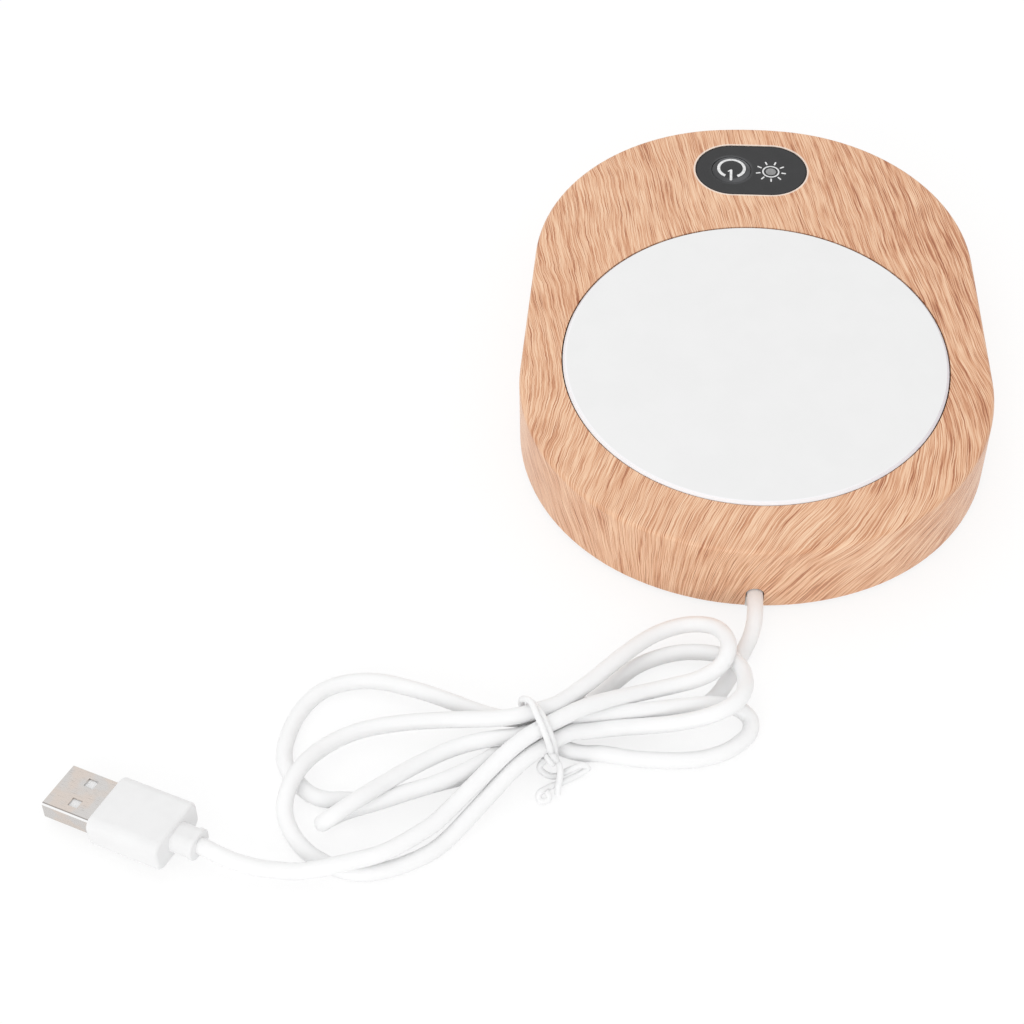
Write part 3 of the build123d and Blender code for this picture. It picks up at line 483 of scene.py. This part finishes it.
def filmFinish(settings):
    material, shader, signal = newFinish("printedFilm", {
        "Roughness": settings["roughness"], "Specular IOR Level": settings["shine"]})
    where = signal.place()
    x, y = signal.millimetres("XY")
    fromKey = x - settings["keyX"]
    fromMiddle = y - settings["middleY"]
    radius = (fromKey * fromKey + fromMiddle * fromMiddle).root()
    # painted highlight: a pale ring on the shoulder of the key, brightest towards the back and the
    # right, as if lit from there
    keyHighlight = radius.between(*settings["keyHighlightStart"]) * (1 - radius.between(*settings["keyHighlightEnd"]))
    light = fromMiddle.absolute() * settings["keyHighlightAlong"] + fromMiddle * settings["keyHighlightBack"]
    light = (light + fromKey * settings["keyHighlightRight"]).between(*settings["keyHighlightSpan"])
    lit = settings["keyHighlightEverywhere"] + (1 - settings["keyHighlightEverywhere"]) * light
    cloudy = signal.noise(where, *settings["mottle"])
    colour = (cloudy * settings["mottleShare"]).mix(settings["film"], settings["keyHighlight"])
    colour = (keyHighlight * lit).mix(colour, settings["keyHighlight"])
    # painted shade along the edge of the film
    inset = pillDistance(x, y, settings).between(*settings["edgeShadeSpan"])
    feed(shader, "Base Color", inset.mix(settings["edgeShade"], colour))
    feed(shader, "Roughness", uneven(cloudy, settings["roughness"], settings["roughnessSpread"]))
    skin = signal.noise(where, settings["grain"])
    emboss(shader, signal, skin, settings["strength"], settings["depth"])
    return material


paint(["control_overlay", "power_key"], filmFinish(panelSettings))
print("panel finished")


# Signs: a power sign printed on the crown of the key, and a sun round the lamp

signSettings = {
    "white": (0.86, 0.86, 0.86), "wear": (1500.0, 3.0), "wearSpan": (0.35, 0.6), "spread": 0.18,
    "strength": 0.1, "depth": 0.00001, "height": 0.05, "roughness": 0.45,
    "powerRadius": 3.26, "powerStroke": 0.76, "powerFrom": -119.6, "powerSweep": 304.0,
    # start, end and width of each bar, from the middle of the key
    "powerBars": {"powerBar": ((-0.14, -1.00), (-0.17, -4.20), 0.64),
                  "powerFlag": ((-0.80, -1.35), (-0.34, -1.00), 0.36)},
    "sunRadius": 2.0, "sunStroke": 0.39, "rays": 9, "rayFrom": 2.85, "rayTo": 3.68,
    "rayStroke": 0.40}
strokeSettings = {
    "sides": 12, "sweepSteps": 96, "weld": 0.002, "smoothAngle": 40.0, "endShare": 0.48,
    "endSteps": 5, "cuts": 2}


def signFinish(settings):
    material, shader, signal = newFinish("signWhite", {"Roughness": settings["roughness"]})
    worn = signal.noise(signal.place(), *settings["wear"])
    dull = [(1 - settings["spread"]) * part for part in settings["white"]]
    feed(shader, "Base Color", worn.between(*settings["wearSpan"]).mix(dull, settings["white"]))
    emboss(shader, signal, worn, settings["strength"], settings["depth"])
    return material


def applyPlace(piece):
    bpy.ops.object.select_all(action="DESELECT")
    piece.select_set(True)
    bpy.context.view_layer.objects.active = piece
    bpy.ops.object.transform_apply(location=True, rotation=True, scale=True)


def roundSweep(name, middle, radius, width, height, start=0.0, sweep=360.0):
    # a flattened round stroke, spun about an upright axis through middle
    turn = math.radians(start)
    spot = Vector(middle) + radius * Vector((math.cos(turn), math.sin(turn), 0))
    whole = sweep >= 360.0
    bpy.ops.mesh.primitive_circle_add(
        vertices=strokeSettings["sides"], radius=width / 2 * mm,
        fill_type="NOTHING" if whole else "NGON", location=spot * mm,
        rotation=(math.pi / 2, 0, turn))
    piece = bpy.context.object
    piece.name = name
    piece.scale.y = height / width
    applyPlace(piece)
    bpy.ops.object.mode_set(mode="EDIT")
    bpy.ops.mesh.select_all(action="SELECT")
    bpy.ops.mesh.spin(steps=strokeSettings["sweepSteps"], angle=math.radians(sweep),
                      center=Vector(middle) * mm, axis=(0, 0, 1))
    bpy.ops.mesh.select_all(action="SELECT")
    bpy.ops.mesh.remove_doubles(threshold=strokeSettings["weld"] * mm)
    bpy.ops.mesh.normals_make_consistent(inside=False)
    bpy.ops.object.mode_set(mode="OBJECT")
    bpy.ops.object.shade_smooth_by_angle(angle=math.radians(strokeSettings["smoothAngle"]))
    return piece


def roundedBar(name, start, end, width, height, top):
    # a flat stroke with rounded ends, its upper face at top
    first, last = Vector(start), Vector(end)
    span = last - first
    middle = (first + last) / 2
    bpy.ops.mesh.primitive_cube_add(
        size=1, location=Vector((middle.x, middle.y, top - height / 2)) * mm,
        rotation=(0, 0, math.atan2(span.y, span.x)),
        scale=((span.length + width) * mm, width * mm, height * mm))
    piece = bpy.context.object
    piece.name = name
    applyPlace(piece)
    # edges alone are selected, so that the bevel rounds only the upright ones
    bpy.context.tool_settings.mesh_select_mode = (False, True, False)
    for part in (piece.data.vertices, piece.data.edges, piece.data.polygons):
        part.foreach_set("select", [False] * len(part))
    for edge in piece.data.edges:
        low, high = (piece.data.vertices[index].co for index in edge.vertices)
        edge.select = abs(high.z - low.z) > height * mm / 2
    bpy.ops.object.mode_set(mode="EDIT")
    bpy.ops.mesh.bevel(offset=width * strokeSettings["endShare"] * mm,
                       segments=strokeSettings["endSteps"])
    bpy.ops.mesh.select_all(action="SELECT")
    bpy.ops.mesh.subdivide(number_cuts=strokeSettings["cuts"])
    bpy.ops.object.mode_set(mode="OBJECT")
    return piece


def joined(name, pieces):
    bpy.ops.object.select_all(action="DESELECT")
    for piece in pieces:
        piece.select_set(True)
    bpy.context.view_layer.objects.active = pieces[0]
    bpy.ops.object.join()
    pieces[0].name = name
    return pieces[0]


def turnedCopy(piece, name, middle, degrees):
    copy = bpy.data.objects.new(name, piece.data.copy())
    bpy.context.scene.collection.objects.link(copy)
    centre = Matrix.Translation(Vector(middle) * mm)
    copy.data.transform(centre @ Matrix.Rotation(math.radians(degrees), 4, "Z") @ centre.inverted())
    return copy


def addPowerSign(settings, panel):
    x, y, top = panel["keyX"], panel["middleY"], panel["keyTop"]
    height = settings["height"]
    parts = [roundSweep(
        "powerRing", (x, y, top), settings["powerRadius"], settings["powerStroke"], height * 2,
        settings["powerFrom"], settings["powerSweep"])]
    for name, (start, end, width) in settings["powerBars"].items():
        start, end = ((x + point[0], y + point[1]) for point in (start, end))
        parts.append(roundedBar(name, start, end, width, height, top + height))
    sign = joined("powerSign", parts)
    # lowered on to the crown of the key
    crown = panel["crown"]
    for vertex in sign.data.vertices:
        out = math.hypot(vertex.co.x / mm - x, vertex.co.y / mm - y)
        vertex.co.z -= (crown - math.sqrt(crown ** 2 - out ** 2)) * mm
    return sign


def addSunSign(settings, panel):
    x, y, top = panel["lampX"], panel["lampY"], panel["top"]
    height = settings["height"]
    ring = roundSweep(
        "sunRing", (x, y, top), settings["sunRadius"], settings["sunStroke"], height * 2)
    start, end = (x, y - settings["rayFrom"]), (x, y - settings["rayTo"])
    ray = roundedBar("sunRay", start, end, settings["rayStroke"], height, top + height)
    rays = [turnedCopy(ray, "sunRay" + str(step), (x, y, top), 360 / settings["rays"] * step)
            for step in range(1, settings["rays"])]
    return joined("sunSign", [ring, ray, *rays])


powerSign = addPowerSign(signSettings, panelSettings)
sunSign = addSunSign(signSettings, panelSettings)
signWhite = signFinish(signSettings)
for piece, body in ((powerSign, "power_key"), (sunSign, "housing")):
    piece.data.materials.clear()
    piece.data.materials.append(signWhite)
    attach(piece, body)
print("signs printed")


# Housing: a film printed with wood grain, wrapped over the top and down the walls

woodSettings = {
    "roughness": 0.4, "roughnessSpread": 0.08, "shine": 0.4, "coat": 0.15, "coatRoughness": 0.35,
    "stops": [(0.0, (0.950, 0.655, 0.445)), (0.28, (0.855, 0.520, 0.325)),
              (0.52, (0.735, 0.390, 0.220)), (0.76, (0.560, 0.235, 0.115)),
              (1.0, (0.360, 0.120, 0.050))],
    # the outline highlight is a painted highlight: a pale line on the wood round the recess of the
    # panel
    "outline": (0.97, 0.88, 0.80), "outlineSpan": (-0.7, -0.35), "outlineShare": 0.7,
    # where the grain leans, in millimetres, and by how much
    "topZ": 19.8, "bendY": -30.0, "bendTilt": -0.12, "bendWidth": 10.0, "middleWidth": 10.0,
    "backLean": (0.235, 0.0004), "frontLean": (0.62, -0.0075),
    "leftSpan": (10.0, 50.0), "rightSpan": (0.0, 45.0), "rightSpanY": (-50.0, -10.0),
    # waves: noise scale, detail, reach in millimetres, and further reach on the left
    "waves": [(0.03, 1.0, 4.5, 0.0), (0.11, 2.0, 0.8, 1.0), (0.75, 2.0, 0.20, 0.20)],
    # grain: scale across and along, detail, shift, and the noise where it starts and is full
    "lines": (3.8, 0.055, 1.5, 0.0, 0.44, 0.58), "fine": (6.2, 0.120, 1.5, 7.0, 0.43, 0.58),
    "pores": (3.6, 0.090, 1.5, 31.0, 0.56, 0.63), "bands": (0.34, 0.014, 2.0, 13.0, 0.46, 0.64),
    "streaks": (0.85, 0.034, 3.0, 23.0, 0.47, 0.62), "grainRoughness": 0.6,
    "cloud": (0.05, 2.0), "cloudSpan": (0.35, 0.65),
    # how much each adds to the tone, which runs through the stops
    "weights": {"lines": 0.44, "fine": 0.34, "bands": 0.14, "streaks": 0.24, "pores": 0.28,
                "poresInBands": 0.16, "cloud": 0.06, "right": 0.03},
    "tone": -0.085, "streaksLeft": 0.3, "streaksRight": 1.0,
    "reliefLines": 0.6, "reliefPores": 0.4, "strength": 0.25, "depth": 0.00006}


def woodFinish(settings, panel):
    material, shader, signal = newFinish("woodGrainFilm", {
        "Roughness": settings["roughness"], "Specular IOR Level": settings["shine"],
        "Coat Weight": settings["coat"], "Coat Roughness": settings["coatRoughness"]})
    x, y, z = signal.millimetres("XYZ")
    # painted highlight along the edge of the recess round the panel
    outline = pillDistance(x, y, panel).between(*settings["outlineSpan"])
    # the film goes over the edge, so a wall continues the top outwards; the 1 keeps reach off zero
    drop = (settings["topZ"] - z).atLeast(0.0)
    reach = (x * x + y * y + 1.0).root()
    x = x + x * drop / reach
    y = y + y * drop / reach
    flat = signal.vector(x, y, 0.0)
    left = (x * -1).between(*settings["leftSpan"])
    right = x.between(*settings["rightSpan"]) * y.between(*settings["rightSpanY"])
    # the grain leans one way behind the bend and another before it
    past = y - (settings["bendY"] + x * settings["bendTilt"])
    bend = (past * past + settings["bendWidth"] ** 2).root()
    fromMiddle = (x * x + settings["middleWidth"] ** 2).root()
    backLean = settings["backLean"][0] + x * settings["backLean"][1]
    frontLean = settings["frontLean"][0] + fromMiddle * settings["frontLean"][1]
    across = x + (bend + past) / 2 * backLean + (bend - past) / 2 * frontLean
    for scale, detail, sideways, moreLeft in settings["waves"]:
        across = across + (signal.noise(flat, scale, detail) - 0.5) * (sideways + left * moreLeft)

    def grain(kind):
        acrossScale, alongScale, detail, shift, low, high = settings[kind]
        place = signal.vector(across * acrossScale + shift, y * alongScale, shift)
        return signal.noise(place, 1.0, detail, settings["grainRoughness"]).between(low, high)

    kinds = ("lines", "fine", "pores", "bands", "streaks")
    lines, fine, pores, bands, streaks = [grain(kind) for kind in kinds]
    streaks = streaks * (settings["streaksLeft"] + right * settings["streaksRight"])
    cloud = signal.noise(flat, *settings["cloud"]).between(*settings["cloudSpan"])
    weights = settings["weights"]
    tone = lines * weights["lines"] + fine * weights["fine"] + bands * weights["bands"]
    tone = tone + streaks * weights["streaks"]
    tone = tone + pores * (weights["pores"] + bands * weights["poresInBands"])
    tone = tone + cloud * weights["cloud"] + settings["tone"] + right * weights["right"]
    colour = tone.node("ValToRGB", {"stops": settings["stops"]}, {0: tone})
    edged = (outline * settings["outlineShare"]).mix(colour, settings["outline"])
    height = 1.0 - lines * settings["reliefLines"] - pores * settings["reliefPores"]
    feed(shader, "Base Color", edged)
    feed(shader, "Roughness", uneven(lines, settings["roughness"], settings["roughnessSpread"]))
    emboss(shader, signal, height, settings["strength"], settings["depth"])
    return material


paint(["upper_housing"], woodFinish(woodSettings, panelSettings))
print("housing finished")


# Plate: glass with a white back and a ground bevel, a painted highlight on its front-left rim and
# painted shade on its side

plateLow, plateHigh = (Vector(corner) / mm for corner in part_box("heating_plate"))
plateSettings = {
    "middleY": (plateLow.y + plateHigh.y) / 2, "radius": (plateHigh.x - plateLow.x) / 2,
    "top": plateHigh.z, "bevel": 0.6, "bevelSpan": (-0.05, 0.1), "rimWidth": 0.42, "rimFull": 0.168,
    "rimToward": (-0.62, -0.78), "rimSpan": (-0.2, 0.75), "sideSpan": (-0.85, -0.6),
    "face": (0.885, 0.885, 0.885), "rim": (0.955, 0.95, 0.97), "ground": (0.84, 0.82, 0.87),
    "side": (0.10, 0.085, 0.075), "mottle": (120.0, 3.0), "spread": 0.015, "roughness": 0.3,
    "bevelRoughness": 0.25, "mottleRoughness": 0.04, "shine": 0.5, "grain": 2500.0,
    "faceGrain": 0.1, "strength": 0.1, "depth": 0.00003}


def plateFinish(settings):
    material, shader, signal = newFinish("whiteBackedGlass", {
        "Roughness": settings["roughness"], "Specular IOR Level": settings["shine"]})
    where = signal.place()
    x, y, z = signal.millimetres("XYZ")
    offset = y - settings["middleY"]
    radius = (x * x + offset * offset).root()
    flatEdge = settings["radius"] - settings["bevel"]
    bevel = (radius - flatEdge).between(*settings["bevelSpan"])
    # a painted highlight: the rim is painted bright where the edge faces the front left, as if lit
    # from there
    aside, forward = settings["rimToward"]
    facing = ((x * aside + offset * forward) / radius.atLeast(1.0)).between(*settings["rimSpan"])
    rim = (radius - flatEdge).between(-settings["rimWidth"], -settings["rimFull"]) * facing
    cloudy = signal.noise(where, *settings["mottle"])
    face = mottled(cloudy, settings["face"], settings["spread"])
    face = bevel.mix(face, settings["ground"])
    face = rim.mix(face, settings["rim"])
    # painted shade: the side of the plate, below its top, is painted dark, as the gap round it is
    # in shade
    low = 1 - (z - settings["top"]).between(*settings["sideSpan"])
    bevelRoughness = bevel * settings["bevelRoughness"]
    height = signal.noise(where, settings["grain"]) * (settings["faceGrain"] + bevel)
    feed(shader, "Base Color", low.mix(face, settings["side"]))
    feed(shader, "Roughness",
         settings["roughness"] + bevelRoughness + cloudy * settings["mottleRoughness"])
    emboss(shader, signal, height, settings["strength"], settings["depth"])
    return material


paint(["heating_plate"], plateFinish(plateSettings))
print("plate finished")


# Plug: bright nickel shell, white moulded body

plugSettings = {
    "turn": -23.4, "metal": (0.62, 0.60, 0.585), "warm": (0.66, 0.59, 0.54), "mottle": (220.0, 2.0),
    "mottleSpan": (0.42, 0.62), "roughness": 0.26, "roughnessSpread": 0.16,
    # scales along and across the plug
    "streaks": (0.35, 9.0), "streakDetail": 3.0, "scratches": (0.5, 6.0),
    "scratchSpan": (0.60, 0.66), "scratch": (0.40, 0.37, 0.35), "scratchShare": 0.45,
    "strength": 0.08, "depth": 0.00002,
    # how upright a face is: the painted edge highlight lies between the walls and the top
    "topSpan": (0.85, 0.97), "edgeSpan": (0.15, 0.5), "edgeHighlight": (0.95, 0.95, 0.95),
    # millimetres inwards from the near edge
    "darkLineStart": (0.6, 0.75), "darkLineEnd": (0.9, 1.05), "darkLine": (0.22, 0.20, 0.19),
    "darkLineShare": 0.8,
    "white": {"colour": (0.890, 0.890, 0.892), "roughness": 0.42, "scatter": 0.1}}


def nickelFinish(settings):
    # streaked and scratched along, with a painted highlight on the edges and a painted dark line
    # beside the near edge
    material, shader, signal = newFinish("brightNickel", {
        "Metallic": 1.0, "Roughness": settings["roughness"]})
    x, y, z = signal.millimetres("XYZ")
    turn = math.radians(settings["turn"])
    along = x * math.cos(turn) + y * math.sin(turn)
    across = y * math.cos(turn) - x * math.sin(turn)
    alongScale, acrossScale = settings["streaks"]
    place = signal.vector(along * alongScale, across * acrossScale, z * acrossScale)
    streaks = signal.noise(place, 1.0, settings["streakDetail"])
    alongScale, acrossScale = settings["scratches"]
    place = signal.vector(along * alongScale, across * acrossScale, 0.0)
    scratches = signal.noise(place, 1.0).between(*settings["scratchSpan"])
    cloudy = signal.noise(signal.place(), *settings["mottle"])
    corners = nodes["usb_shell"].data.vertices
    near = min(v.co.y * math.cos(turn) - v.co.x * math.sin(turn) for v in corners) / mm
    inset = across - near
    facing = signal.node("TexCoord", None, None, "Normal")
    up = signal.node("SeparateXYZ", None, {0: facing}, "Z")
    top = up.between(*settings["topSpan"])
    # painted highlight: the rounded edges between the walls and the top are painted near white
    edgeHighlight = up.between(*settings["edgeSpan"]) * (1 - top)
    # a dark line painted on the top, just inside the near edge
    darkLine = top * inset.between(*settings["darkLineStart"])
    darkLine = darkLine * (1 - inset.between(*settings["darkLineEnd"]))
    colour = cloudy.between(*settings["mottleSpan"]).mix(settings["metal"], settings["warm"])
    colour = (top * scratches * settings["scratchShare"]).mix(colour, settings["scratch"])
    colour = edgeHighlight.mix(colour, settings["edgeHighlight"])
    colour = (darkLine * settings["darkLineShare"]).mix(colour, settings["darkLine"])
    feed(shader, "Base Color", colour)
    feed(shader, "Roughness", uneven(streaks, settings["roughness"], settings["roughnessSpread"]))
    emboss(shader, signal, streaks, settings["strength"], settings["depth"])
    return material


paint(["usb_shell"], nickelFinish(plugSettings))
paint(["usb_overmold", "usb_tongue"], mouldedFinish("plugWhite", plugSettings["white"]))
paint(["cord_inner_end"], whiteVinyl)
print("plug finished")


# The lamp lens, the base, the feet and all that is inside

plainSettings = {
    "lampLens": {
        "nodes": ["light_guide"], "colour": (0.4, 0.4, 0.4), "roughness": 0.3, "grain": 2500.0,
        "strength": 0.8, "spread": 0.45, "scatter": 0.2},
    "palePlastic": {
        "nodes": ["base_cover", "cord_clamp", "heater_retainer"], "colour": (0.8, 0.78, 0.74),
        "roughness": 0.5, "grain": 2500.0, "strength": 0.35},
    "footRubber": {
        "nodes": ["rubber_feet"], "colour": (0.075, 0.075, 0.078), "roughness": 0.75,
        "grain": 3500.0, "strength": 0.4, "spread": 0.2},
    "sealSilicone": {
        "nodes": ["plate_seal"], "colour": (0.05, 0.05, 0.05), "roughness": 0.6, "spread": 0.2},
    "zincPlate": {
        "nodes": ["base_screws", "retainer_screws", "board_screws", "clamp_screws", "switch_dome"],
        "colour": (0.62, 0.62, 0.61), "roughness": 0.32, "metal": 1.0, "spread": 0.12},
    "felt": {
        "nodes": ["insulation_pad"], "colour": (0.8, 0.77, 0.7), "roughness": 0.9,
        "grain": 1200.0, "strength": 0.8, "spread": 0.15},
    "goldPlate": {
        "nodes": ["heater_tabs", "usb_contacts"], "colour": (0.83, 0.62, 0.3), "roughness": 0.3,
        "metal": 1.0, "spread": 0.1},
    "blackMould": {
        "nodes": ["switch_body", "controller_chip", "heater_transistor", "chip_resistors"],
        "colour": (0.03, 0.03, 0.032), "roughness": 0.5, "spread": 0.3},
    "greyButton": {
        "nodes": ["switch_plunger"], "colour": (0.09, 0.09, 0.095), "roughness": 0.45,
        "spread": 0.2},
    "tinPlate": {
        "nodes": ["switch_legs", "smoothing_capacitor"], "colour": (0.72, 0.72, 0.73),
        "roughness": 0.35, "metal": 1.0, "spread": 0.1},
    "clearResin": {
        "nodes": ["indicator_led", "thermistor"], "colour": (0.85, 0.83, 0.72),
        "roughness": 0.25, "scatter": 0.4, "spread": 0.08},
    "redWire": {
        "nodes": ["heater_wires", "sensor_wires", "power_wires"], "colour": (0.52, 0.035, 0.03),
        "roughness": 0.42, "spread": 0.15}}

for name, settings in plainSettings.items():
    paint(settings["nodes"], mouldedFinish(name, settings))


heaterSettings = {
    "film": ((0.50, 0.20, 0.03), (0.62, 0.29, 0.06)), "mottle": (150.0, 2.0),
    "track": (0.16, 0.10, 0.06), "rings": 1.9, "ringSpan": (-0.1, 0.3), "roughness": 0.3,
    "coat": 0.4, "strength": 0.3, "depth": 0.00003}


def heaterFinish(settings, middleY):
    # amber film with a printed track that runs in rings
    material, shader, signal = newFinish("heaterFilm", {
        "Roughness": settings["roughness"], "Coat Weight": settings["coat"]})
    x, y = signal.millimetres("XY")
    offset = y - middleY
    radius = (x * x + offset * offset).root()
    track = (radius * settings["rings"]).sine().between(*settings["ringSpan"])
    film = signal.noise(signal.place(), *settings["mottle"]).mix(*settings["film"])
    feed(shader, "Base Color", track.mix(film, settings["track"]))
    emboss(shader, signal, track, settings["strength"], settings["depth"])
    return material


boardSettings = {
    "mask": (0.012, 0.110, 0.035), "track": (0.040, 0.230, 0.075), "cells": 260.0,
    "trackSpan": (0.02, 0.07), "roughness": 0.35, "coat": 0.3, "strength": 0.3, "depth": 0.00004}


def boardFinish(settings):
    # green solder mask over etched tracks
    material, shader, signal = newFinish("boardLaminate", {
        "Roughness": settings["roughness"], "Coat Weight": settings["coat"]})
    kind = {"feature": "DISTANCE_TO_EDGE", "distance": "EUCLIDEAN"}
    inputs = {"Vector": signal.place(), "Scale": settings["cells"]}
    cells = signal.node("TexVoronoi", kind, inputs, "Distance")
    track = 1 - cells.between(*settings["trackSpan"])
    feed(shader, "Base Color", track.mix(settings["mask"], settings["track"]))
    emboss(shader, signal, track, settings["strength"], settings["depth"])
    return material


paint(["heater_film"], heaterFinish(heaterSettings, plateSettings["middleY"]))
paint(["circuit_board"], boardFinish(boardSettings))
print("inner pieces finished")
